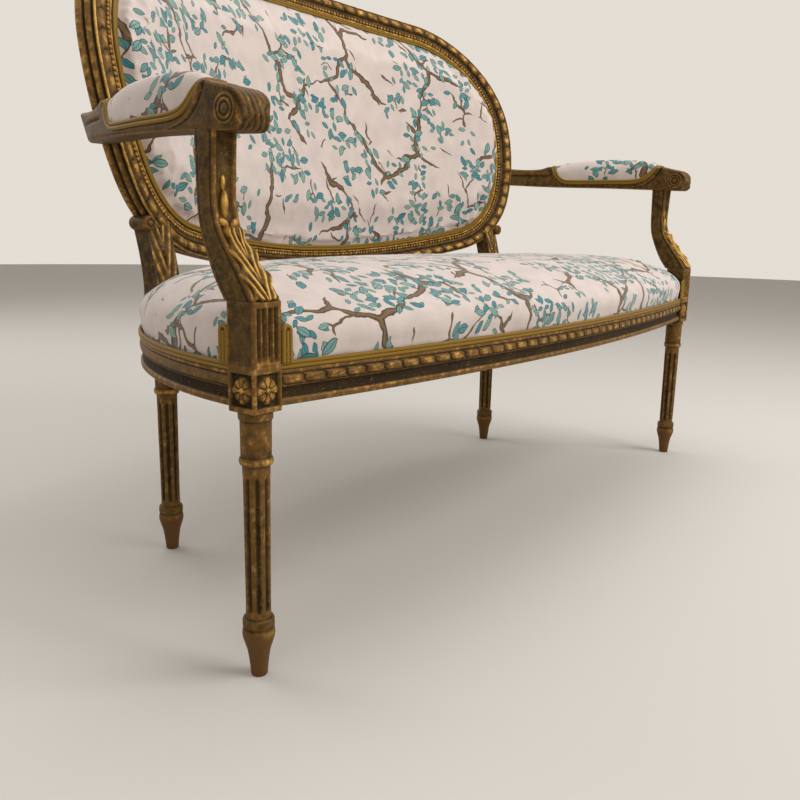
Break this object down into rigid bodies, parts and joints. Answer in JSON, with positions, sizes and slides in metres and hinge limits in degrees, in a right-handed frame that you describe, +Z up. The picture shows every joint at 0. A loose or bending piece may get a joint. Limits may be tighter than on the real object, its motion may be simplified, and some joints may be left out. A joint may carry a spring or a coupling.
{
  "type": "settee",
  "caption": "Giltwood settee with a curved oval back, open padded arms on scrolled supports, a bowed domed seat and fluted turned legs.",
  "frame": {"origin": "on the floor, in the middle of the settee's outer box", "axes": "+X to the right in a front view, -Y to the front, +Z up"},
  "size_m": [1.29, 0.6844, 0.937],
  "materials": {
    "gilt_wood": "aged carved giltwood, olive bronze with bright gold and red ground on the high places",
    "frame_wood": "plain unfinished beech inside the seat frame",
    "printed_fabric": "matte printed upholstery cloth, leaf sprigs on a pale ground",
    "gimp": "ochre gold double-cord trim",
    "stuffing": "undyed hair and wadding under calico",
    "webbing": "woven jute webbing",
    "hessian": "coarse hessian and dust cloth",
    "steel": "plain steel wire and screws"
  },
  "bodies": {
    "root": {"arm_left": "gilt_wood", "arm_pad_cover_left": "printed_fabric", "arm_pad_cover_right": "printed_fabric", "arm_pad_gimp_left": "gimp", "arm_pad_gimp_right": "gimp", "arm_pad_left": "stuffing", "arm_pad_right": "stuffing", "arm_right": "gilt_wood", "arm_support_left": "gilt_wood", "arm_support_right": "gilt_wood", "back_bottom_rail": "gilt_wood", "back_cover": "printed_fabric", "back_gimp_front": "gimp", "back_gimp_rear": "gimp", "back_rear_cover": "printed_fabric", "back_stile_left": "gilt_wood", "back_stile_right": "gilt_wood", "back_stuffing": "stuffing", "back_top_rail": "gilt_wood", "back_webbing": "webbing", "corner_block_front_left": "frame_wood", "corner_block_front_right": "frame_wood", "corner_block_rear_left": "frame_wood", "corner_block_rear_right": "frame_wood", "corner_screws": "steel", "dust_cover": "hessian", "frame_dowels": "frame_wood", "front_leg_left": "gilt_wood", "front_leg_right": "gilt_wood", "front_rail": "gilt_wood", "rear_leg_left": "gilt_wood", "rear_leg_right": "gilt_wood", "rear_rail": "gilt_wood", "seat_brace": "frame_wood", "seat_cover": "printed_fabric", "seat_gimp_front": "gimp", "seat_gimp_left": "gimp", "seat_gimp_rear": "gimp", "seat_gimp_right": "gimp", "seat_hessian": "hessian", "seat_springs": "steel", "seat_stuffing": "stuffing", "seat_webbing": "webbing", "side_rail_left": "gilt_wood", "side_rail_right": "gilt_wood", "stump_gimps": "gimp"}
  },
  "joints": []
}
